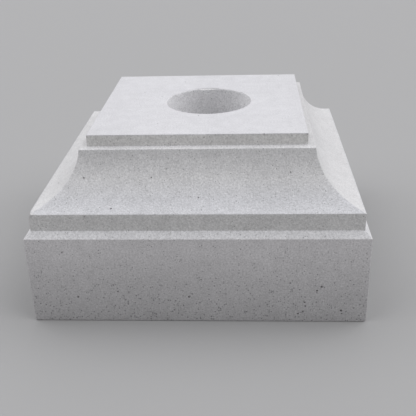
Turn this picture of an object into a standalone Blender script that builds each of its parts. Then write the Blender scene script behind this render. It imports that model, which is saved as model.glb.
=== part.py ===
"""Square cast stone plinth, one casting: a plain block with a chamfered shoulder, a fillet,
a hollow scotia, a narrow ledge and a thin square slab on top, pierced by a round hole.

Metres, +Z up. The origin is on the ground below the middle of the block, and -Y is the front.
"""

import math

import bmesh
import bpy
from mathutils import Vector

# The block that stands on the ground
BLOCK_WIDTH = 0.450
BLOCK_HEIGHT = 0.126

# Mouldings above it, from the shoulder up
CHAMFER = 0.0083
FILLET_HEIGHT = 0.0238
SCOTIA_DEPTH = 0.060
SCOTIA_HEIGHT = 0.0661
SCOTIA_RADIUS = 0.074
LEDGE_DEPTH = 0.0098
LEDGE_FALL = 0.001
SLAB_HEIGHT = 0.0158

# The hole, which the mould left a little off centre
HOLE_DIAMETER = 0.126
HOLE_OFFSET_X = 0.0093
HOLE_OFFSET_Y = 0.0027
HOLE_RIM_EASING = 0.0015
HOLE_SIDES = 96
CUTTER_OVERRUN = 0.010

# Slight rounding of every outer arris
ARRIS_RADIUS = 0.0012
ARRIS_STEPS = 3
SCOTIA_STEPS = 24
SMOOTH_ANGLE = math.radians(20)

STONE_COLOUR = (0.60, 0.60, 0.59, 1.0)
STONE_ROUGHNESS = 0.88


def arc(centre, first, last, steps):
    """Points around the centre from the first point to the last, both included."""
    radius = (first - centre).length
    start, end = first - centre, last - centre
    return [centre + start.slerp(end, step / steps) * radius for step in range(steps + 1)]


def scotia_arc(low, high):
    """The hollow, from its outer end on the fillet to its inner end under the ledge."""
    chord = high - low
    away_from_stone = Vector((chord.y, -chord.x)).normalized()
    reach = math.sqrt(SCOTIA_RADIUS**2 - (chord.length / 2) ** 2)
    return arc((low + high) / 2 + away_from_stone * reach, low, high, SCOTIA_STEPS)


def sharp_outline():
    """Half widths and heights up the outside, between the middles of the underside and the top."""
    block = BLOCK_WIDTH / 2
    fillet = block - CHAMFER
    scotia = fillet - SCOTIA_DEPTH
    slab = scotia - LEDGE_DEPTH
    fillet_foot = BLOCK_HEIGHT + CHAMFER
    fillet_top = fillet_foot + FILLET_HEIGHT
    scotia_top = fillet_top + SCOTIA_HEIGHT
    slab_foot = scotia_top + LEDGE_FALL
    slab_top = slab_foot + SLAB_HEIGHT
    return [
        Vector((0, 0)),
        Vector((block, 0)),
        Vector((block, BLOCK_HEIGHT)),
        Vector((fillet, fillet_foot)),
        *scotia_arc(Vector((fillet, fillet_top)), Vector((scotia, scotia_top))),
        Vector((slab, slab_foot)),
        Vector((slab, slab_top)),
        Vector((0, slab_top)),
    ]


def eased_corner(before, corner, after):
    """The corner itself where it is hollow, or the arc that rounds it where it stands out."""
    back, ahead = before - corner, after - corner
    if back.cross(ahead) > 0:
        return [corner]
    back.normalize()
    ahead.normalize()
    half_angle = back.angle(ahead) / 2
    centre = corner + (back + ahead).normalized() * ARRIS_RADIUS / math.sin(half_angle)
    reach = ARRIS_RADIUS / math.tan(half_angle)
    return arc(centre, corner + back * reach, corner + ahead * reach, ARRIS_STEPS)


def eased_outline():
    """The sharp outline without its two middle points, with each arris rounded."""
    sharp = sharp_outline()
    corners = zip(sharp, sharp[1:], sharp[2:])
    return [point for corner in corners for point in eased_corner(*corner)]


def stone_material():
    material = bpy.data.materials.new("cast_stone")
    material.use_nodes = True
    shader = material.node_tree.nodes["Principled BSDF"]
    shader.inputs["Base Color"].default_value = STONE_COLOUR
    shader.inputs["Roughness"].default_value = STONE_ROUGHNESS
    shader.inputs["Metallic"].default_value = 0.0
    material.diffuse_color = STONE_COLOUR
    return material


def add_object(name, bm):
    """A new object in the scene that takes over the bmesh."""
    bmesh.ops.recalc_face_normals(bm, faces=bm.faces)
    mesh = bpy.data.meshes.new(name)
    bm.to_mesh(mesh)
    bm.free()
    thing = bpy.data.objects.new(name, mesh)
    bpy.context.scene.collection.objects.link(thing)
    return thing


def run_moulding():
    """The solid body: a square with rounded corners, raised step by step up the outline."""
    outline = eased_outline()
    bm = bmesh.new()
    bmesh.ops.create_grid(bm, x_segments=1, y_segments=1, size=outline[0].x)
    bmesh.ops.bevel(
        bm,
        geom=bm.verts[:],
        offset=ARRIS_RADIUS,
        segments=ARRIS_STEPS,
        profile=0.5,
        affect="VERTICES",
        material=-1,
    )
    rim = bm.edges[:]
    for below, above in zip(outline, outline[1:]):
        raised = bmesh.ops.extrude_edge_only(bm, edges=rim)["geom"]
        rim = [piece for piece in raised if isinstance(piece, bmesh.types.BMEdge)]
        outwards = above.x - below.x
        for vertex in {corner for edge in rim for corner in edge.verts}:
            vertex.co.x += outwards * math.copysign(1, vertex.co.x)
            vertex.co.y += outwards * math.copysign(1, vertex.co.y)
            vertex.co.z = above.y
    bmesh.ops.contextual_create(bm, geom=rim)
    return add_object("plinth", bm)


def hole_cutter():
    """A turned plug through the whole height, flared at both ends so that the rims come out eased."""
    radius = HOLE_DIAMETER / 2
    top = sharp_outline()[-1].y
    flare = HOLE_RIM_EASING + CUTTER_OVERRUN
    outline = [
        (0, -CUTTER_OVERRUN),
        (radius + flare, -CUTTER_OVERRUN),
        (radius, HOLE_RIM_EASING),
        (radius, top - HOLE_RIM_EASING),
        (radius + flare, top + CUTTER_OVERRUN),
        (0, top + CUTTER_OVERRUN),
    ]
    bm = bmesh.new()
    points = [bm.verts.new((out, 0, height)) for out, height in outline]
    edges = [bm.edges.new(pair) for pair in zip(points, points[1:])]
    bmesh.ops.spin(
        bm,
        geom=points + edges,
        axis=(0, 0, 1),
        cent=(0, 0, 0),
        angle=math.tau,
        steps=HOLE_SIDES,
        use_merge=True,
    )
    bmesh.ops.remove_doubles(bm, verts=bm.verts, dist=ARRIS_RADIUS / 100)
    cutter = add_object("hole_cutter", bm)
    cutter.location = (HOLE_OFFSET_X, HOLE_OFFSET_Y, 0)
    cutter.hide_render = True
    cutter.display_type = "WIRE"
    return cutter


def build():
    for thing in list(bpy.data.objects):
        bpy.data.objects.remove(thing, do_unlink=True)
    plinth = run_moulding()
    plinth.data.materials.append(stone_material())
    plinth.data.shade_smooth()
    plinth.data.set_sharp_from_angle(angle=SMOOTH_ANGLE)
    hole = plinth.modifiers.new("Hole", "BOOLEAN")
    hole.operation = "DIFFERENCE"
    hole.solver = "EXACT"
    hole.object = hole_cutter()


build()
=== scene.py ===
"""Visual model of a square cast stone plinth: one casting with a chamfered shoulder, a fillet,
a hollow scotia, a narrow ledge and a thin top slab, pierced by a round hole.

Metres, +Z up. The origin is on the ground below the middle of the block, and -Y is the front.
"""

import collections
import math
import random

import bmesh
import bpy
from mathutils import Euler, Matrix, Vector, noise
from mathutils.bvhtree import BVHTree
from mathutils.kdtree import KDTree


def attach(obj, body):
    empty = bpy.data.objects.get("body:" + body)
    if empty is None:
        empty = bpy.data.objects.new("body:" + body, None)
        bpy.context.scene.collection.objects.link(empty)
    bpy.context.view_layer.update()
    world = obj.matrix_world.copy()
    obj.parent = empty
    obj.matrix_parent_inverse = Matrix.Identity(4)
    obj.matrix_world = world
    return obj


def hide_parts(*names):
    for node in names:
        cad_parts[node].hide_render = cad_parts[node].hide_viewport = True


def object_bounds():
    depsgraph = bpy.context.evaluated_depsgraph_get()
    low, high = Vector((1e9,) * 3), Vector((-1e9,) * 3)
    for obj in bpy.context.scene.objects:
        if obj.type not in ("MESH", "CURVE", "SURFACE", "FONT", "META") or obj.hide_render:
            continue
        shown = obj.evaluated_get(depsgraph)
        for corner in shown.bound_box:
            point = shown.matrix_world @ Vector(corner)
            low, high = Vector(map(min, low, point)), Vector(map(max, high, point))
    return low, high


bl_info = {
    "name": "Cast Stone Plinth",
    "version": (1, 0, 0),
    "blender": (4, 5, 0),
    "location": "View3D > Sidebar > Plinth",
    "description": "Casts a moulded square plinth with its wear and stone, and sets up a small studio",
    "category": "Add Mesh",
}

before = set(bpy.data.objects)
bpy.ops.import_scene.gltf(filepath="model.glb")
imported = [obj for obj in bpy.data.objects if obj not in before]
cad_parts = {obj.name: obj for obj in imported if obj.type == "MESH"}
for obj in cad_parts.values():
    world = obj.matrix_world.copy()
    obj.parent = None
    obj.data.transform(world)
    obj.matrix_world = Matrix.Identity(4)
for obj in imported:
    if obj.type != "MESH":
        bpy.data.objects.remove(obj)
cad_low, cad_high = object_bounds()

NODE = "plinth"
BODY = "root"
SLOT = "cast_stone"


def length(name, default, description, **more):
    """A size in metres that shows to a tenth of a millimetre."""
    return bpy.props.FloatProperty(
        name=name, default=default, description=description, unit="LENGTH", precision=4, **more
    )


def colour(name, default, description):
    """A linear colour."""
    return bpy.props.FloatVectorProperty(
        name=name, default=default, description=description, subtype="COLOR", size=3, min=0, max=1
    )


def strength(name, default, description):
    """How strong a light is."""
    return bpy.props.FloatProperty(name=name, default=default, description=description, min=0)


def angle(name, default, description):
    """An angle in radians that shows in degrees."""
    return bpy.props.FloatProperty(
        name=name, default=default, description=description, subtype="ANGLE"
    )


class PlinthSizes(bpy.types.PropertyGroup):
    """The casting's own sizes, from the ground up."""

    block_width: length("Block width", cad_high.x - cad_low.x, "Side of the square block")
    block_height: length("Block height", 0.126, "Height of the block's upright faces")
    chamfer: length("Chamfer", 0.0083, "Rise and run of the sloping shoulder")
    fillet_height: length("Fillet height", 0.0238, "Height of the upright band above the shoulder")
    scotia_depth: length("Scotia depth", 0.060, "How far the hollow moulding goes in")
    scotia_height: length("Scotia height", 0.0661, "How far the hollow moulding goes up")
    scotia_radius: length("Scotia radius", 0.074, "Radius of the hollow moulding")
    ledge_depth: length("Ledge depth", 0.0098, "Width of the narrow ledge around the slab")
    ledge_fall: length("Ledge fall", 0.001, "How far the ledge slopes down outwards")
    slab_height: length("Slab height", 0.0158, "Height of the thin top slab's upright faces")
    hole_diameter: length("Hole diameter", 0.126, "Width of the round hole")
    hole_x: length("Hole offset X", 0.0093, "How far right of the middle the hole is")
    hole_y: length("Hole offset Y", 0.0027, "How far behind the middle the hole is")
    arris_radius: length("Arris radius", 0.0007, "Rounding of every outer arris", min=0.0002)
    rim_easing: length("Rim easing", 0.0015, "Rounding of the hole's two rims", min=0.0002)


class PlinthWear(bpy.types.PropertyGroup):
    """What casting, handling and weather did to the surface."""

    wave: length("Wave", 0.0003, "How far the broad faces dip at most", min=0)
    arris_wear: length("Arris wear", 0.0004, "How far the arrises are rubbed back at most", min=0)
    wall_roughness: length("Hole roughness", 0.0005, "How uneven the hole's wall is", min=0)
    pinhole_least: length("Smallest pinhole", 0.0007, "Width of the smallest air hole", min=0.0003)
    pinhole_most: length("Largest pinhole", 0.0028, "Width of the largest air hole", min=0.0003)
    pinholes: bpy.props.IntProperty(
        name="Pinholes", default=420, min=0, soft_max=1000, description="Number of small air holes"
    )
    chips: bpy.props.IntProperty(
        name="Chips", default=46, min=0, soft_max=200, description="Number of nicks along the arrises"
    )
    chip_most: length("Largest nick", 0.0042, "Width of the largest random nick", min=0.001)
    seed: bpy.props.IntProperty(
        name="Seed", default=7, min=0, description="Another number gives another scatter"
    )


class StoneTonesAndLight(bpy.types.PropertyGroup):
    """Colours of the cast stone, all linear. Each face's tone is set so that it shows as bright and as
    tinted under the studio lights as the real face, so besides the stone's tone they hold painted light
    and shade.
    """

    # Painted shade: the stone darkens towards the ground
    foot: colour("Foot", (0.444, 0.439, 0.441), "Damp and darker stone by the ground")
    block: colour("Block", (0.610, 0.600, 0.604), "Faces of the block above the damp")
    shoulder: colour("Shoulder", (0.655, 0.655, 0.660), "Sloping shoulder of the block")
    band: colour("Lower band", (0.593, 0.590, 0.582), "Upright band below the hollow")
    hollow_foot: colour("Hollow, foot", (0.545, 0.548, 0.560), "Foot of the hollow moulding")
    hollow_head: colour("Hollow, head", (0.635, 0.633, 0.630), "Head of the hollow moulding")
    # Painted light: the hollow's left and right sides take a tone of their own for the light that falls
    # on them
    hollow_side: colour("Hollow, sides", (0.616, 0.613, 0.610), "Left and right sides of the hollow")
    ledge: colour("Ledge", (0.640, 0.638, 0.640), "Narrow ledge around the slab")
    slab: colour("Slab", (0.658, 0.653, 0.638), "Upright faces of the top slab")
    top: colour("Top", (0.584, 0.583, 0.596), "Smooth top")
    # Painted light: the hole's wall is paler than the stone outside, in place of light that reaches into
    # the hole
    hole: colour("Hole", (0.765, 0.763, 0.770), "Clean wall of the hole")
    grit: colour("Grit", (0.12, 0.12, 0.125), "Dark grains in the face")
    sand: colour("Pale grains", (0.85, 0.85, 0.84), "Pale grains in the face")


class PlinthStudio(bpy.types.PropertyGroup):
    """Floor, lights and camera."""

    floor: colour("Floor", (0.35, 0.35, 0.347), "Plain pale floor")
    right_light: strength("Right light", 1.824, "Soft light from the right")
    left_light: strength("Left light", 1.388, "Soft light from the left")
    back_light: strength("Back light", 0.763, "Soft light from behind")
    ambient: strength("Ambient", 0.347, "Even light from all round")
    light_colour: colour("Light colour", (0.974, 0.972, 1.0), "Colour of every light")
    light_height: angle("Light height", math.radians(45), "How high the three lights stand")
    light_spread: angle("Light spread", math.radians(70), "How wide each light is, for soft shadows")
    camera_place: bpy.props.FloatVectorProperty(
        name="Camera place",
        default=(0.0661, -1.0021, 0.5467),
        description="Where the camera stands",
        subtype="TRANSLATION",
        size=3,
    )
    camera_turn: bpy.props.FloatVectorProperty(
        name="Camera turn",
        default=(math.radians(64.227), math.radians(1.613), math.radians(2.811)),
        description="Tilt, roll and turn of the camera",
        subtype="EULER",
        size=3,
    )
    camera_lens: bpy.props.FloatProperty(
        name="Lens",
        default=59.72,
        description="Focal length on a 36 mm sensor",
        min=1,
        unit="CAMERA",
    )


# Directions
UP = Vector((0, 0, 1))
DOWN = Vector((0, 0, -1))
FRONT = Vector((0, -1, 0))
BACK = Vector((0, 1, 0))
RIGHT = Vector((1, 0, 0))
LEFT = Vector((-1, 0, 0))

# Distances of the close rows of the mesh from each end of a straight stretch
CLOSE_ROWS = (0.0008, 0.002, 0.004)

# Widest spacing of the rows on the outside, down the hole and on the underside
FACE_ROW = 0.009
WALL_ROW = 0.016
UNDERSIDE_ROW = 0.060

# Segments along each side of the square, and how much they crowd towards its corners
SIDE_SEGMENTS = 128
SIDE_CROWDING = 0.3

# Steps of a rounded arris and of the hollow
ARRIS_STEPS = 4
SCOTIA_STEPS = 32

# Turns above which an edge counts as an arris, and above which it is shaded sharp
ARRIS_ANGLE = math.radians(12)
SMOOTH_ANGLE = math.radians(28)

# Reach of the rubbing along an arris, and the least that its fine grain leaves of it
RUB_REACH = 0.0035
RUB_LEAST = 0.4

# Waves per metre of each kind of unevenness
WAVE_GRAIN = 7
RUB_PATCHES = 31
RUB_GRAIN = 240
WALL_PATCHES = 45
WALL_GRAIN = 170

# Shares of the broad patches and of the fine grain in the roughness of the hole's wall
WALL_PATCH_SHARE = 0.6
WALL_GRAIN_SHARE = 0.4

# Larger air holes in the front: place across, place up and width
FRONT_AIR_HOLES = (
    (-0.110, 0.161, 0.0036),
    (0.003, 0.169, 0.0031),
    (-0.060, 0.189, 0.0025),
    (-0.150, 0.189, 0.0031),
    (0.123, 0.194, 0.0024),
    (0.164, 0.055, 0.0048),
    (0.158, 0.049, 0.0031),
    (-0.012, 0.039, 0.0039),
    (-0.107, 0.047, 0.0036),
    (-0.162, 0.038, 0.0036),
    (-0.176, 0.107, 0.0034),
    (0.191, 0.018, 0.0034),
    (0.192, 0.013, 0.0028),
    (0.134, 0.013, 0.0036),
    (0.140, 0.016, 0.0034),
    (0.142, 0.031, 0.0036),
    (0.143, 0.025, 0.0031),
)

# Nicks along the block's front top arris: place across and width
FRONT_NICKS = ((0.111, 0.0034), (0.140, 0.0026), (0.158, 0.0030))

# Width of the nick at the ledge's front right corner
CORNER_NICK = 0.004

# Width and place across of the nick in the fillet's front top arris
FILLET_NICK = 0.0032
FILLET_NICK_X = 0.0475

# Flakes off the hole's back rim: angle, drop below the top, and half sizes along, into and down the
# wall. The first is long and flat, and leaves a shallow step with a pale floor.
RIM_SPALLS = (
    (math.radians(95), -0.0004, (0.0185, 0.0040, 0.0024)),
    (math.radians(122), 0.0003, (0.0035, 0.0013, 0.0016)),
    (math.radians(141), 0.0003, (0.0030, 0.0012, 0.0014)),
    (math.radians(38), 0.0003, (0.0040, 0.0013, 0.0015)),
)

# Subdivisions of the ball that a lump starts as
COARSE_LUMP = 1
ROUND_LUMP = 2
ROUNDEST_LUMP = 3

# Room kept between lumps, as a share of their reach
LUMP_ROOM = 1.3

# How uneven lumps are, the grain of it on a ball of radius 1, and how far its noise is moved at most
LUMP_ROUGHNESS = 0.22
LUMP_GRAIN = 1.4
LUMP_SHIFT = 50

# How far from the middle the rays start that find the skin
RAY_START = 1.0

# Width above which an air hole is cut by a round lump
ROUND_AIR_HOLE = 0.0016

# Ranges for an air hole: its half sizes in half widths, and the depth of its middle in widths
AIR_HOLE_SIZES = (0.85, 1.15)
AIR_HOLE_DEPTHS = (0.15, 0.30)

# Ranges for a nick: half its length and breadth in half widths, and its middle's height in widths
NICK_LENGTHS = (1.0, 1.5)
NICK_BREADTHS = (0.6, 0.8)
NICK_HEIGHTS = (0.15, 0.3)

# A random share, raised to a power so that most come out small, sets an air hole's or a nick's width
AIR_HOLE_POWER = 3
NICK_POWER = 2
NICK_SHARES = (0.3, 1)

# Points closer than this are merged after the cut
SLIVER = 0.00001

# Shares of the block's height where the painted shade at the foot fades evenly, and where it ends
FOOT_SHADE_STEPS = (0.0, 0.25, 0.50)
FOOT_SHADE_TOP = 0.85

# Height that a change of colour takes at an arris, and half the height that it takes on the sides
ARRIS_BLEND = 0.001
SIDE_BLEND = 0.0005

# Heights above the foot of the hollow where its colours change over
HOLLOW_FOOT_END = 0.008
HOLLOW_HEAD_START = 0.030

# Depths below the top where the colours of the slab and the top change over
SLAB_END = 0.002
TOP_START = 0.0005

# Depths below the top between which its smoothness sets in
SMOOTH_BLEND = (0.0012, 0.0003)

# Distances outside the hole's radius between which its colour ends
HOLE_BLEND = (0.0006, 0.0014)

# Width of the change along a mitre
MITRE_BLEND = 0.001

# Noises in the stone: waves per metre, detail and roughness
CLOUDS = (9.0, 3.0, 0.55)
PATCHES = (62.0, 4.0, 0.6)
SAND = (440.0, 3.0, 0.7)

# Values that most of a noise lies between
NOISE_RANGE = (0.3, 0.7)

# What each noise multiplies the colour by, and the roughness that the sand gives
CLOUD_TONES = (0.965, 1.03)
PATCH_TONES = (0.95, 1.045)
SAND_TONES = (0.78, 1.20)
STONE_ROUGHNESS = (0.94, 0.82)

# How much of the sand shows on the smooth top and on the left and right faces. On the left and right
# faces it is fainter as painted light, the grain washed out where the light falls bright.
SAND_ON_TOP = 0.60
SAND_ON_SIDES = 0.65

# Kinds of grain: number per metre, radius as a share of a cell, shift of the pattern and strength
Grains = collections.namedtuple("Grains", "per_metre radius shift strength")
GRIT = Grains(400.0, 0.42, (0.3, 0.1, 0.7), 0.62)
BIG_GRIT = Grains(130.0, 0.30, (0.9, 0.5, 0.2), 0.55)
PALE_GRAINS = Grains(520.0, 0.40, (0.2, 0.8, 0.4), 0.60)

# Shares of the cells that hold a grain: of grit above the block and on the ground, and of the others
GRIT_SHARE = 0.36
# Denser grit by the ground: partly the stone's speckle, partly painted shade that darkens the foot
GRIT_SHARE_LOW_DOWN = 0.58
BIG_GRIT_SHARE = 0.18
PALE_SHARE = 0.30

# How much smaller the share of grit is on the smooth top, and its strength on the left and right faces,
# where it is fainter as painted light
GRIT_LESS_ON_TOP = 0.2
GRIT_ON_SIDES = 0.34

# How far a cell's chance lies below the share when its grain has its full radius
FULL_GRAIN = 0.4

# Share of the radius that a grain's soft edge takes
GRAIN_EDGE = 0.4

# Relief of the stone: its strength and height, and how deep dark grains lie as a share of the sand's
BUMP_STRENGTH = 0.6
BUMP_HEIGHT = 0.0005
PIT_DEPTH = 0.6

# How much the stone reflects, as a specular level
STONE_SHEEN = 0.35

# Half width of the floor, its distance below the plinth, and its roughness
FLOOR_REACH = 40.0
FLOOR_GAP = 0.0003
FLOOR_ROUGHNESS = 0.95

# How much paler the far floor looks than its own colour, at the low angle where the backdrop meets it
BACKDROP_LIFT = 1.09

Ring = collections.namedtuple("Ring", "half_width radius roundness height")
Masks = collections.namedtuple("Masks", "smooth_top low_down hole sides")


def arc(centre, first, last, steps):
    """Points around the centre from the first point to the last, both included."""
    radius = (first - centre).length
    start, end = first - centre, last - centre
    return [centre + start.slerp(end, step / steps) * radius for step in range(steps + 1)]


def scotia_arc(low, high, radius):
    """The hollow, from its outer end on the fillet to its inner end under the ledge."""
    chord = high - low
    away_from_stone = Vector((chord.y, -chord.x)).normalized()
    reach = math.sqrt(radius**2 - (chord.length / 2) ** 2)
    return arc((low + high) / 2 + away_from_stone * reach, low, high, SCOTIA_STEPS)


def turning_points(sizes):
    """Half width and height of the moulding's turning points, by name."""
    block = sizes.block_width / 2
    fillet = block - sizes.chamfer
    scotia = fillet - sizes.scotia_depth
    slab = scotia - sizes.ledge_depth
    fillet_foot = sizes.block_height + sizes.chamfer
    fillet_top = fillet_foot + sizes.fillet_height
    scotia_top = fillet_top + sizes.scotia_height
    slab_foot = scotia_top + sizes.ledge_fall
    return {
        "ground": Vector((block, 0)),
        "shoulder": Vector((block, sizes.block_height)),
        "fillet foot": Vector((fillet, fillet_foot)),
        "fillet top": Vector((fillet, fillet_top)),
        "scotia top": Vector((scotia, scotia_top)),
        "slab foot": Vector((slab, slab_foot)),
        "slab top": Vector((slab, slab_foot + sizes.slab_height)),
    }


def eased_corner(before, corner, after, radius):
    """The corner itself where it is hollow, or the arc that rounds it where it stands out."""
    back, ahead = before - corner, after - corner
    if back.cross(ahead) > 0:
        return [corner]
    back.normalize()
    ahead.normalize()
    half_angle = back.angle(ahead) / 2
    centre = corner + (back + ahead).normalized() * radius / math.sin(half_angle)
    reach = radius / math.tan(half_angle)
    return arc(centre, corner + back * reach, corner + ahead * reach, ARRIS_STEPS)


def row_shares(stretch, widest):
    """Rows along a straight stretch, as shares of it: close together by both ends, where it wears."""
    if stretch < widest:
        return []
    close = [reach for reach in CLOSE_ROWS if reach < stretch / 3]
    begin = close[-1] if close else 0
    rows = math.ceil((stretch - 2 * begin) / widest)
    middle = [begin + (stretch - 2 * begin) * row / rows for row in range(1, rows)]
    marks = close + middle + [stretch - reach for reach in reversed(close)]
    return [mark / stretch for mark in marks]


def outline(corners, radius, widest):
    """Rounds the corners between the first and the last point, and adds the rows."""
    triples = zip(corners, corners[1:], corners[2:])
    eased = [point for triple in triples for point in eased_corner(*triple, radius)]
    rowed = eased[:1]
    for start, end in zip(eased, eased[1:]):
        shares = row_shares((end - start).length, widest)
        rowed += [start.lerp(end, share) for share in shares] + [end]
    return rowed


def outside_outline(sizes):
    """Half widths and heights up the outside, from the edge of the underside to that of the top."""
    point = turning_points(sizes)
    scotia = scotia_arc(point["fillet top"], point["scotia top"], sizes.scotia_radius)
    corners = [Vector((0, 0)), point["ground"], point["shoulder"], point["fillet foot"], *scotia]
    corners += [point["slab foot"], point["slab top"], Vector((0, point["slab top"].y))]
    return outline(corners, sizes.arris_radius, FACE_ROW)


def wall_outline(sizes):
    """Radii and heights down the hole, from its upper rim to its lower one."""
    radius = sizes.hole_diameter / 2
    top = turning_points(sizes)["slab top"].y
    beyond = 2 * radius
    places = ((beyond, top), (radius, top), (radius, 0), (beyond, 0))
    return outline([Vector(place) for place in places], sizes.rim_easing, WALL_ROW)


def all_rings(sizes):
    """The closed skin's rings in order: up the outside, over the top, down the hole and out below."""
    outside = outside_outline(sizes)
    wall = wall_outline(sizes)
    low, high = outside[0], outside[-1]
    rim = wall[0].x
    rings = [Ring(point.x, rim, 0, point.y) for point in outside]
    rings += [Ring(high.x, rim, share, high.y) for share in row_shares(high.x - rim, FACE_ROW)]
    rings += [Ring(high.x, point.x, 1, point.y) for point in wall]
    rings += [Ring(low.x, rim, 1 - share, low.y) for share in row_shares(low.x - rim, UNDERSIDE_ROW)]
    return rings


def first_square(bm, sizes):
    """The block's square with rounded corners, with many points that crowd towards its corners."""
    block = sizes.block_width / 2
    flat = block - sizes.arris_radius
    bmesh.ops.create_grid(bm, x_segments=1, y_segments=1, size=block)
    bmesh.ops.bevel(
        bm,
        geom=bm.verts[:],
        offset=sizes.arris_radius,
        segments=ARRIS_STEPS,
        profile=0.5,
        affect="VERTICES",
        material=-1,
    )
    sides = [edge for edge in bm.edges if edge.calc_length() > flat]
    bmesh.ops.subdivide_edges(bm, edges=sides, cuts=SIDE_SEGMENTS - 1)
    bmesh.ops.delete(bm, geom=bm.faces[:], context="FACES_ONLY")
    for vertex in bm.verts:
        for axis in (0, 1):
            share = vertex.co[axis] / flat
            if abs(share) < 1:
                vertex.co[axis] *= 1 + SIDE_CROWDING * (1 - share * share)
    return bm.edges[:]


def on_ring(start, ring, sizes):
    """Where a point of the first square goes on a ring, which is square, round or between the two."""
    block, corner = sizes.block_width / 2, sizes.arris_radius
    flat = block - corner
    square = Vector([
        along * (ring.half_width - corner) / flat
        if abs(along) <= flat
        else along + math.copysign(1, along) * (ring.half_width - block)
        for along in start.xy
    ])
    round_place = Vector((sizes.hole_x, sizes.hole_y)) + start.xy.normalized() * ring.radius
    place = square.lerp(round_place, ring.roundness)
    return place.to_3d() + Vector((0, 0, ring.height))


def run_skin(bm, sizes):
    """The whole closed skin: the first square is extruded from ring to ring, and bridged to the last."""
    first = rim = first_square(bm, sizes)
    start = bm.verts.layers.float_vector.new("start")
    for vertex in bm.verts:
        vertex[start] = vertex.co
    rings = all_rings(sizes)
    for ring in rings:
        if ring is not rings[0]:
            raised = bmesh.ops.extrude_edge_only(bm, edges=rim)["geom"]
            rim = [piece for piece in raised if isinstance(piece, bmesh.types.BMEdge)]
        for vertex in {end for edge in rim for end in edge.verts}:
            vertex.co = on_ring(vertex[start], ring, sizes)
    bmesh.ops.bridge_loops(bm, edges=first + rim)
    bmesh.ops.recalc_face_normals(bm, faces=bm.faces)
    bm.verts.layers.float_vector.remove(start)


def arris_edges(bm):
    """The edges that stand out, along the arrises and the hole's rims."""
    return [edge for edge in bm.edges if edge.calc_face_angle_signed() > ARRIS_ANGLE]


def arris_runs(bm):
    """Both ends of each edge that stands out, and the way outwards from it."""
    runs = []
    for edge in arris_edges(bm):
        start, end = edge.verts
        runs.append((start.co.copy(), end.co.copy(), (start.normal + end.normal) / 2))
    return runs


def worn_corners(sizes):
    """Corners that are knocked rounder than the rest: place, reach and depth."""
    point = turning_points(sizes)
    fillet, ground = point["fillet top"], point["ground"]
    return [
        (Vector((-fillet.x, -fillet.x, fillet.y)), 0.014, 0.0031),
        (Vector((ground.x, -ground.x, 0)), 0.011, 0.0012),
        (Vector((-ground.x, ground.x, 0)), 0.012, 0.0016),
    ]


def unevenness(place, per_metre):
    """Smooth noise from 0 to 1."""
    return 0.5 + 0.5 * noise.noise(place * per_metre)


def wear_down(bm, sizes, wear):
    """Sinks the skin a little, more along each arris, and only ever into the stone."""
    bm.normal_update()
    ends = list({end for edge in arris_edges(bm) for end in edge.verts})
    arrises = KDTree(len(ends))
    for index, vertex in enumerate(ends):
        arrises.insert(vertex.co, index)
    arrises.balance()
    hole = Vector((sizes.hole_x, sizes.hole_y))
    wall_reach = sizes.hole_diameter / 2 + sizes.rim_easing / 2
    corners = worn_corners(sizes)
    sinks = []
    for vertex in bm.verts:
        place = vertex.co
        distance = arrises.find(place)[2]
        rub = max(0, 1 - distance / RUB_REACH) ** 2
        fine = RUB_LEAST + unevenness(place, RUB_GRAIN)
        sink = wear.arris_wear * rub * unevenness(place, RUB_PATCHES) * fine
        if (place.xy - hole).length < wall_reach:
            patches = WALL_PATCH_SHARE * unevenness(place, WALL_PATCHES)
            sink += wear.wall_roughness * (patches + WALL_GRAIN_SHARE * unevenness(place, WALL_GRAIN))
        elif place.z > 0:
            sink += wear.wave * unevenness(place, WAVE_GRAIN)
        for corner, reach, depth in corners:
            sink += depth * max(0, 1 - (place - corner).length / reach) ** 2
        sinks.append(vertex.normal * sink)
    for vertex, sink in zip(bm.verts, sinks):
        vertex.co -= sink


class Bites:
    """Rough lumps that are cut out of the stone. None of them touches another."""

    def __init__(self, rng):
        self.bm = bmesh.new()
        self.rng = rng
        self.taken = []

    def add(self, place, along, half_sizes, roundness):
        """Adds a lump, unless it would touch an earlier one."""
        reach = max(half_sizes)
        if any((place - other).length < LUMP_ROOM * (reach + room) for other, room in self.taken):
            return
        self.taken.append((place, reach))
        turn = along.to_track_quat("X", "Z")
        ball = bmesh.ops.create_icosphere(self.bm, subdivisions=roundness, radius=1)["verts"]
        offset = Vector([self.rng.uniform(-LUMP_SHIFT, LUMP_SHIFT) for axis in range(3)])
        for vertex in ball:
            vertex.co *= 1 + LUMP_ROUGHNESS * noise.noise(vertex.co * LUMP_GRAIN + offset)
        matrix = Matrix.LocRotScale(place, turn, Vector(half_sizes))
        bmesh.ops.transform(self.bm, matrix=matrix, verts=ball)

    def cut_from(self, body):
        """Cuts all the lumps out of the body for good."""
        mesh = bpy.data.meshes.new("bites")
        self.bm.to_mesh(mesh)
        self.bm.free()
        lumps = bpy.data.objects.new("bites", mesh)
        bpy.context.scene.collection.objects.link(lumps)
        cut = body.modifiers.new("Bites", "BOOLEAN")
        cut.operation = "DIFFERENCE"
        cut.solver = "MANIFOLD"
        cut.object = lumps
        evaluated = body.evaluated_get(bpy.context.evaluated_depsgraph_get())
        whole, bitten = body.data, bpy.data.meshes.new_from_object(evaluated)
        body.modifiers.clear()
        body.data = bitten
        bpy.data.objects.remove(lumps)
        bpy.data.meshes.remove(mesh)
        bpy.data.meshes.remove(whole)
        bitten.name = body.name
        drop_slivers(bitten)
        if not bitten.polygons or open_edges(bitten):
            raise RuntimeError("the cut left no closed skin")


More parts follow.
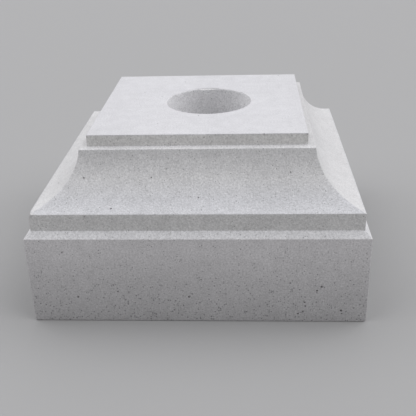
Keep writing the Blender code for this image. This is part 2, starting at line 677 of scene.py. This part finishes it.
def add_air_hole(bites, skin, origin, direction, width):
    """A small round hollow where a ray meets the skin."""
    place, normal = skin.ray_cast(origin, direction)[:2]
    if place is None:
        return
    rng = bites.rng
    half_sizes = [width / 2 * rng.uniform(*AIR_HOLE_SIZES) for axis in range(3)]
    along = Vector([rng.uniform(-1, 1) for axis in range(3)])
    roundness = ROUND_LUMP if width > ROUND_AIR_HOLE else COARSE_LUMP
    middle = place - normal * width * rng.uniform(*AIR_HOLE_DEPTHS)
    bites.add(middle, along, half_sizes, roundness)


def add_nick(bites, place, outwards, along, width):
    """A shallow chip on an arris, longer along it than across."""
    rng = bites.rng
    half_length = width / 2 * rng.uniform(*NICK_LENGTHS)
    half_breadth = width / 2 * rng.uniform(*NICK_BREADTHS)
    middle = place + outwards * width * rng.uniform(*NICK_HEIGHTS)
    bites.add(middle, along, (half_length, half_breadth, width / 2), ROUND_LUMP)


def scatter_air_holes(bites, skin, sizes, wear):
    """Small air holes at random over the top and the four sides, most of them tiny."""
    rng = bites.rng
    half, top = sizes.block_width / 2, turning_points(sizes)["slab top"].y
    span = wear.pinhole_most - wear.pinhole_least
    for count in range(wear.pinholes):
        width = wear.pinhole_least + span * rng.random() ** AIR_HOLE_POWER
        across, up = rng.uniform(-half, half), rng.uniform(0, top)
        side = rng.choice((FRONT, BACK, RIGHT, LEFT, None))
        if side is None:
            origin = Vector((across, rng.uniform(-half, half), RAY_START))
            add_air_hole(bites, skin, origin, DOWN, width)
        else:
            origin = side * RAY_START + side.cross(UP) * across + UP * up
            add_air_hole(bites, skin, origin, -side, width)


def scatter_nicks(bites, arrises, wear):
    """Small chips at random places along the arrises."""
    rng = bites.rng
    lengths = [(end - start).length for start, end, outwards in arrises]
    for start, end, outwards in rng.choices(arrises, weights=lengths, k=wear.chips):
        width = wear.chip_most * rng.uniform(*NICK_SHARES) ** NICK_POWER
        add_nick(bites, start.lerp(end, rng.random()), outwards, end - start, width)


def add_seen_marks(bites, skin, sizes):
    """The larger air holes, the nicks and the spalled rim, each in its own place."""
    point = turning_points(sizes)
    block, fillet, scotia = point["shoulder"], point["fillet top"], point["scotia top"]
    top, radius = point["slab top"].y, sizes.hole_diameter / 2
    for across, up, width in FRONT_AIR_HOLES:
        add_air_hole(bites, skin, Vector((across, -RAY_START, up)), BACK, width)
    for across, width in FRONT_NICKS:
        place = Vector((across, -block.x, block.y))
        add_nick(bites, place, (FRONT + UP).normalized(), RIGHT, width)
    for bearing, drop, half_sizes in RIM_SPALLS:
        outwards = Vector((math.cos(bearing), math.sin(bearing), 0))
        place = Vector((sizes.hole_x, sizes.hole_y, top - drop)) + outwards * radius
        bites.add(place, outwards.cross(UP), half_sizes, ROUNDEST_LUMP)
    ledge_corner = Vector((scotia.x, -scotia.x, scotia.y))
    add_nick(bites, ledge_corner, (RIGHT + FRONT).normalized(), RIGHT, CORNER_NICK)
    fillet_arris = Vector((FILLET_NICK_X, -fillet.x, fillet.y))
    add_nick(bites, fillet_arris, FRONT, RIGHT, FILLET_NICK)


def drop_slivers(mesh):
    """Splits the many-sided faces that the cut left, and merges points that all but touch."""
    bm = bmesh.new()
    bm.from_mesh(mesh)
    bmesh.ops.triangulate(bm, faces=bm.faces)
    bmesh.ops.remove_doubles(bm, verts=bm.verts, dist=SLIVER)
    bm.to_mesh(mesh)
    bm.free()


def open_edges(mesh):
    """How many edges don't have exactly two faces."""
    bm = bmesh.new()
    bm.from_mesh(mesh)
    count = sum(not edge.is_manifold for edge in bm.edges)
    bm.free()
    return count


def add_node(tree, kind, inputs=None, **settings):
    """A shader node with its settings. An input that is a socket is linked, and any other is set."""
    node = tree.nodes.new(kind)
    for name, value in settings.items():
        setattr(node, name, value)
    for name, value in (inputs or {}).items():
        if isinstance(value, bpy.types.NodeSocket):
            tree.links.new(value, node.inputs[name])
        else:
            node.inputs[name].default_value = value
    return node


def scaled(tree, value, low, high, to_low, to_high):
    """A value from low to high stretched over to_low to to_high, and held at the ends."""
    ends = {"Value": value, "From Min": low, "From Max": high, "To Min": to_low, "To Max": to_high}
    return add_node(tree, "ShaderNodeMapRange", ends, clamp=True).outputs["Result"]


def varied(tree, value, ends):
    """A noise's value stretched from its usual range to the two ends."""
    return scaled(tree, value, *NOISE_RANGE, *ends)


def grain(tree, place, per_metre, detail, roughness):
    """Cloudy noise at a grain given in waves per metre."""
    inputs = {"Vector": place, "Scale": per_metre, "Detail": detail, "Roughness": roughness}
    return add_node(tree, "ShaderNodeTexNoise", inputs).outputs["Fac"]


def calculated(tree, operation, first, second):
    """The outcome of a sum or the like with two values."""
    return add_node(tree, "ShaderNodeMath", {0: first, 1: second}, operation=operation).outputs[0]


def mixed(tree, share, below, above, how="MIX"):
    """The two colours mixed by a share. The node has them at its inputs 6 and 7."""
    inputs = {0: share, 6: below, 7: above}
    return add_node(tree, "ShaderNodeMix", inputs, data_type="RGBA", blend_type=how).outputs[2]


def grains(tree, place, kind, share):
    """Scattered round grains: a mask with one grain in a share of the cells, of varied size."""
    shifted = add_node(tree, "ShaderNodeMapping", {"Vector": place, "Location": kind.shift})
    inputs = {"Vector": shifted.outputs["Vector"], "Scale": kind.per_metre}
    cells = add_node(tree, "ShaderNodeTexVoronoi", inputs)
    parts = add_node(tree, "ShaderNodeSeparateColor", {"Color": cells.outputs["Color"]})
    below_share = calculated(tree, "SUBTRACT", share, parts.outputs["Red"])
    size = calculated(tree, "MULTIPLY", below_share, kind.radius / FULL_GRAIN)
    inside = calculated(tree, "SUBTRACT", size, cells.outputs["Distance"])
    return scaled(tree, inside, 0.0, kind.radius * GRAIN_EDGE, 0.0, 1.0)


def solid_colour(rgb):
    """The colour with full alpha."""
    return (*rgb, 1.0)


def band_colour(tree, up, sizes, tones_and_light):
    """The stone's colour by height: a foot darkened as painted shade, grey block, paler mouldings and
    smooth top. The bands' tones hold painted light and shade as well as the stone's tone.
    """
    point = turning_points(sizes)
    shoulder, fillet_foot = point["shoulder"].y, point["fillet foot"].y
    fillet_top, scotia_top = point["fillet top"].y, point["scotia top"].y
    slab_foot, top = point["slab foot"].y, point["slab top"].y
    # Painted shade: the block's colour darkens towards the ground
    foot, block = Vector(tones_and_light.foot), Vector(tones_and_light.block)
    stops = [(share * shoulder, foot.lerp(block, share)) for share in FOOT_SHADE_STEPS]
    stops += [
        (FOOT_SHADE_TOP * shoulder, block),
        (shoulder, block),
        (shoulder + ARRIS_BLEND, tones_and_light.shoulder),
        (fillet_foot, tones_and_light.shoulder),
        (fillet_foot + ARRIS_BLEND, tones_and_light.band),
        (fillet_top - ARRIS_BLEND, tones_and_light.band),
        (fillet_top, tones_and_light.hollow_foot),
        (fillet_top + HOLLOW_FOOT_END, tones_and_light.hollow_foot),
        (fillet_top + HOLLOW_HEAD_START, tones_and_light.hollow_head),
        (scotia_top - ARRIS_BLEND, tones_and_light.hollow_head),
        (scotia_top, tones_and_light.ledge),
        (slab_foot, tones_and_light.ledge),
        (slab_foot + ARRIS_BLEND, tones_and_light.slab),
        (top - SLAB_END, tones_and_light.slab),
        (top - TOP_START, tones_and_light.top),
    ]
    ramp = add_node(tree, "ShaderNodeValToRGB", {"Fac": scaled(tree, up, 0.0, top, 0.0, 1.0)})
    elements = ramp.color_ramp.elements
    while len(elements) < len(stops):
        elements.new(0.5)
    for element, (height, tone) in zip(elements, stops):
        element.position = height / top
        element.color = solid_colour(tone)
    return ramp.outputs["Color"]


def in_hole(tree, place, sizes):
    """A mask of the hole's wall, by the distance from its axis."""
    axis = (-sizes.hole_x, -sizes.hole_y, 0.0)
    inputs = {"Vector": place, "Location": axis, "Scale": (1.0, 1.0, 0.0)}
    centred = add_node(tree, "ShaderNodeMapping", inputs).outputs["Vector"]
    out = add_node(tree, "ShaderNodeVectorMath", {0: centred}, operation="LENGTH").outputs["Value"]
    begin, end = (sizes.hole_diameter / 2 + reach for reach in HOLE_BLEND)
    return scaled(tree, out, begin, end, 1.0, 0.0)


def smooth_heights(sizes):
    """The heights between which the smoothness of the top sets in."""
    top = turning_points(sizes)["slab top"].y
    return [top - depth for depth in SMOOTH_BLEND]


def left_and_right(tree, place, up, hole, sizes):
    """A mask of the outer left and right faces, which the mitres divide from the front and back. It
    carries their painted light.
    """
    places = add_node(tree, "ShaderNodeSeparateXYZ", {"Vector": place}).outputs
    across, along = (calculated(tree, "ABSOLUTE", places[axis], 0.0) for axis in "XY")
    past_mitre = calculated(tree, "SUBTRACT", across, along)
    beside = scaled(tree, past_mitre, 0.0, MITRE_BLEND, 0.0, 1.0)
    below = scaled(tree, up, *smooth_heights(sizes), 1.0, 0.0)
    outside = calculated(tree, "SUBTRACT", 1.0, hole)
    return calculated(tree, "MULTIPLY", beside, calculated(tree, "MULTIPLY", below, outside))


def stone_masks(tree, place, up, sizes):
    """Masks of the smooth top, the lower block, the hole's wall, and the left and right faces."""
    smooth_top = scaled(tree, up, *smooth_heights(sizes), 0.0, 1.0)
    low_down = scaled(tree, up, 0.0, sizes.block_height, 1.0, 0.0)
    hole = in_hole(tree, place, sizes)
    return Masks(smooth_top, low_down, hole, left_and_right(tree, place, up, hole, sizes))


def plain_colour(tree, up, masks, sizes, tones_and_light):
    """The colour by height, with a tone of the hollow's sides and a paler tone in the hole, both painted
    light.
    """
    tone = band_colour(tree, up, sizes, tones_and_light)
    hollow_foot = turning_points(sizes)["fillet top"].y
    begin, end = hollow_foot - SIDE_BLEND, hollow_foot + SIDE_BLEND
    in_hollow = scaled(tree, up, begin, end, 0.0, 1.0)
    side_share = calculated(tree, "MULTIPLY", masks.sides, in_hollow)
    # Painted light on the hollow's left and right sides
    tone = mixed(tree, side_share, tone, solid_colour(tones_and_light.hollow_side))
    # Painted light: a paler tone on the hole's wall
    return mixed(tree, masks.hole, tone, solid_colour(tones_and_light.hole))


def sanded(tree, place, tone, sand, masks):
    """The colour with clouds, patches and sand. Less sand shows on the top, and on the sides as painted
    light.
    """
    clouds = varied(tree, grain(tree, place, *CLOUDS), CLOUD_TONES)
    patches = varied(tree, grain(tree, place, *PATCHES), PATCH_TONES)
    tone = mixed(tree, 1.0, tone, clouds, "MULTIPLY")
    tone = mixed(tree, 1.0, tone, patches, "MULTIPLY")
    sandy = mixed(tree, 1.0, tone, varied(tree, sand, SAND_TONES), "MULTIPLY")
    on_top = scaled(tree, masks.smooth_top, 0.0, 1.0, 1.0, SAND_ON_TOP)
    on_sides = scaled(tree, masks.sides, 0.0, 1.0, 1.0, SAND_ON_SIDES)
    return mixed(tree, calculated(tree, "MULTIPLY", on_top, on_sides), tone, sandy)


def dark_grains(tree, place, masks):
    """Masks of the small and of the big dark grains. The small ones are denser low down, partly as the
    stone's speckle and partly as painted shade that darkens the foot.
    """
    share = scaled(tree, masks.low_down, 0.0, 1.0, GRIT_SHARE, GRIT_SHARE_LOW_DOWN)
    less = scaled(tree, masks.smooth_top, 0.0, 1.0, 0.0, GRIT_LESS_ON_TOP)
    grit = grains(tree, place, GRIT, calculated(tree, "SUBTRACT", share, less))
    return grit, grains(tree, place, BIG_GRIT, BIG_GRIT_SHARE)


def with_grains(tree, mask, share, tone, grain_colour):
    """The colour with one kind of grain over it, as strong as the share says."""
    cover = calculated(tree, "MULTIPLY", mask, share)
    return mixed(tree, cover, tone, solid_colour(grain_colour))


def stone_material(sizes, tones_and_light):
    """Cast stone: sand and grit in grey cement, cloudy at several scales, matt and finely rough, with
    painted light and shade in the tones of its faces.
    """
    material = bpy.data.materials.new(SLOT)
    material.use_nodes = True
    tree = material.node_tree
    shader = tree.nodes["Principled BSDF"]
    place = add_node(tree, "ShaderNodeTexCoord").outputs["Object"]
    up = add_node(tree, "ShaderNodeSeparateXYZ", {"Vector": place}).outputs["Z"]
    masks = stone_masks(tree, place, up, sizes)
    sand = grain(tree, place, *SAND)
    grit, big_grit = dark_grains(tree, place, masks)
    pale = grains(tree, place, PALE_GRAINS, PALE_SHARE)
    # Painted light: fainter grit on the left and right faces
    grit_strength = scaled(tree, masks.sides, 0.0, 1.0, GRIT.strength, GRIT_ON_SIDES)

    tone = plain_colour(tree, up, masks, sizes, tones_and_light)
    tone = sanded(tree, place, tone, sand, masks)
    tone = with_grains(tree, pale, PALE_GRAINS.strength, tone, tones_and_light.sand)
    tone = with_grains(tree, grit, grit_strength, tone, tones_and_light.grit)
    tone = with_grains(tree, big_grit, BIG_GRIT.strength, tone, tones_and_light.grit)
    tree.links.new(tone, shader.inputs["Base Color"])
    tree.links.new(varied(tree, sand, STONE_ROUGHNESS), shader.inputs["Roughness"])
    shader.inputs["Metallic"].default_value = 0.0
    shader.inputs["Specular IOR Level"].default_value = STONE_SHEEN

    pits = calculated(tree, "ADD", grit, big_grit)
    height = calculated(tree, "SUBTRACT", sand, calculated(tree, "MULTIPLY", pits, PIT_DEPTH))
    relief = {"Height": height, "Strength": BUMP_STRENGTH, "Distance": BUMP_HEIGHT}
    bump = add_node(tree, "ShaderNodeBump", relief)
    tree.links.new(bump.outputs["Normal"], shader.inputs["Normal"])
    return material


class PLINTH_OT_cast(bpy.types.Operator):
    """Cast the plinth as one closed skin, wear it, and give it its stone"""

    bl_idname = "plinth.cast"
    bl_label = "Cast Plinth"

    def execute(self, context):
        sizes, wear = context.scene.plinth_sizes, context.scene.plinth_wear
        bm = bmesh.new()
        run_skin(bm, sizes)
        wear_down(bm, sizes, wear)
        bm.normal_update()
        skin = BVHTree.FromBMesh(bm)
        arrises = arris_runs(bm)
        mesh = bpy.data.meshes.new("cast_plinth")
        bm.to_mesh(mesh)
        bm.free()
        plinth = bpy.data.objects.new("cast_plinth", mesh)
        context.scene.collection.objects.link(plinth)

        bites = Bites(random.Random(wear.seed))
        add_seen_marks(bites, skin, sizes)
        scatter_nicks(bites, arrises, wear)
        scatter_air_holes(bites, skin, sizes, wear)
        bites.cut_from(plinth)

        plinth.data.shade_smooth()
        plinth.data.set_sharp_from_angle(angle=SMOOTH_ANGLE)
        plinth.data.materials.clear()
        plinth.data.materials.append(stone_material(sizes, context.scene.plinth_finish))
        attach(plinth, BODY)
        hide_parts(NODE)
        return {"FINISHED"}


class PLINTH_OT_studio(bpy.types.Operator):
    """Set up the floor, the lights and the camera"""

    bl_idname = "plinth.studio"
    bl_label = "Set Up Studio"

    def execute(self, context):
        studio = context.scene.plinth_studio
        add_floor(context, studio)
        add_lights(context, studio)
        add_world(context, studio)
        add_camera(context, studio)
        context.scene.view_settings.view_transform = "Standard"
        return {"FINISHED"}


def floor_material(studio):
    """A plain matt floor."""
    material = bpy.data.materials.new("studio_floor")
    material.use_nodes = True
    shader = material.node_tree.nodes["Principled BSDF"]
    shader.inputs["Base Color"].default_value = solid_colour(studio.floor)
    shader.inputs["Roughness"].default_value = FLOOR_ROUGHNESS
    return material


def add_floor(context, studio):
    """A wide flat floor just under the plinth."""
    bm = bmesh.new()
    bmesh.ops.create_grid(bm, x_segments=1, y_segments=1, size=FLOOR_REACH)
    bmesh.ops.translate(bm, vec=(0, 0, -FLOOR_GAP), verts=bm.verts)
    mesh = bpy.data.meshes.new("studio_floor")
    bm.to_mesh(mesh)
    bm.free()
    mesh.materials.append(floor_material(studio))
    floor = bpy.data.objects.new("studio_floor", mesh)
    context.scene.collection.objects.link(floor)


def add_lights(context, studio):
    """Three soft lights far off, at the same height on the right, on the left and behind."""
    for name, turn, power in (
        ("right", 0.0, studio.right_light),
        ("back", math.pi / 2, studio.back_light),
        ("left", math.pi, studio.left_light),
    ):
        light = bpy.data.lights.new(f"{name}_light", "SUN")
        light.energy = power
        light.angle = studio.light_spread
        light.color = studio.light_colour
        lamp = bpy.data.objects.new(light.name, light)
        towards = Euler((0, -studio.light_height, turn)).to_matrix() @ RIGHT
        lamp.rotation_euler = towards.to_track_quat("Z", "Y").to_euler()
        context.scene.collection.objects.link(lamp)


def add_world(context, studio):
    """Even light from all round, with a backdrop as pale as the lit floor looks far off."""
    world = bpy.data.worlds.new("studio_world")
    world.use_nodes = True
    tree = world.node_tree
    light = tree.nodes["Background"]
    light.inputs["Color"].default_value = solid_colour(studio.light_colour)
    light.inputs["Strength"].default_value = studio.ambient
    lights = studio.right_light + studio.left_light + studio.back_light
    on_floor = lights * math.sin(studio.light_height) / math.pi + studio.ambient
    inputs = {"Color": solid_colour(studio.floor), "Strength": on_floor * BACKDROP_LIFT}
    backdrop = add_node(tree, "ShaderNodeBackground", inputs)
    seen = add_node(tree, "ShaderNodeLightPath").outputs["Is Camera Ray"]
    both = add_node(tree, "ShaderNodeMixShader", {0: seen, 1: light.outputs[0], 2: backdrop.outputs[0]})
    tree.links.new(both.outputs[0], tree.nodes["World Output"].inputs["Surface"])
    context.scene.world = world


def add_camera(context, studio):
    """The view from in front, above and a little to the right."""
    data = bpy.data.cameras.new("camera")
    data.lens = studio.camera_lens
    camera = bpy.data.objects.new("camera", data)
    camera.location = studio.camera_place
    camera.rotation_euler = studio.camera_turn
    context.scene.collection.objects.link(camera)
    context.scene.camera = camera


class PLINTH_PT_sidebar(bpy.types.Panel):
    """The plinth's sizes, wear, stone and studio, with a button for each"""

    bl_idname = "PLINTH_PT_sidebar"
    bl_label = "Cast Stone Plinth"
    bl_space_type = "VIEW_3D"
    bl_region_type = "UI"
    bl_category = "Plinth"

    def draw(self, context):
        scene = context.scene
        layout = self.layout
        layout.use_property_split = True
        for title, group in (
            ("Sizes", scene.plinth_sizes),
            ("Wear", scene.plinth_wear),
            ("Stone", scene.plinth_finish),
        ):
            draw_group(layout, title, group)
        layout.operator(PLINTH_OT_cast.bl_idname)
        draw_group(layout, "Studio", scene.plinth_studio)
        layout.operator(PLINTH_OT_studio.bl_idname)


def draw_group(layout, title, group):
    """A box with every value of a property group."""
    box = layout.box()
    box.label(text=title)
    for name in group.__annotations__:
        box.prop(group, name)


CLASSES = (
    PlinthSizes,
    PlinthWear,
    StoneTonesAndLight,
    PlinthStudio,
    PLINTH_OT_cast,
    PLINTH_OT_studio,
    PLINTH_PT_sidebar,
)
GROUPS = {
    "plinth_sizes": PlinthSizes,
    "plinth_wear": PlinthWear,
    "plinth_finish": StoneTonesAndLight,
    "plinth_studio": PlinthStudio,
}


def register():
    for each in CLASSES:
        bpy.utils.register_class(each)
    for name, group in GROUPS.items():
        setattr(bpy.types.Scene, name, bpy.props.PointerProperty(type=group))


def unregister():
    for name in GROUPS:
        delattr(bpy.types.Scene, name)
    for each in reversed(CLASSES):
        bpy.utils.unregister_class(each)


def main():
    register()
    bpy.ops.plinth.cast()
    bpy.ops.plinth.studio()


if __name__ == "__main__":
    main()
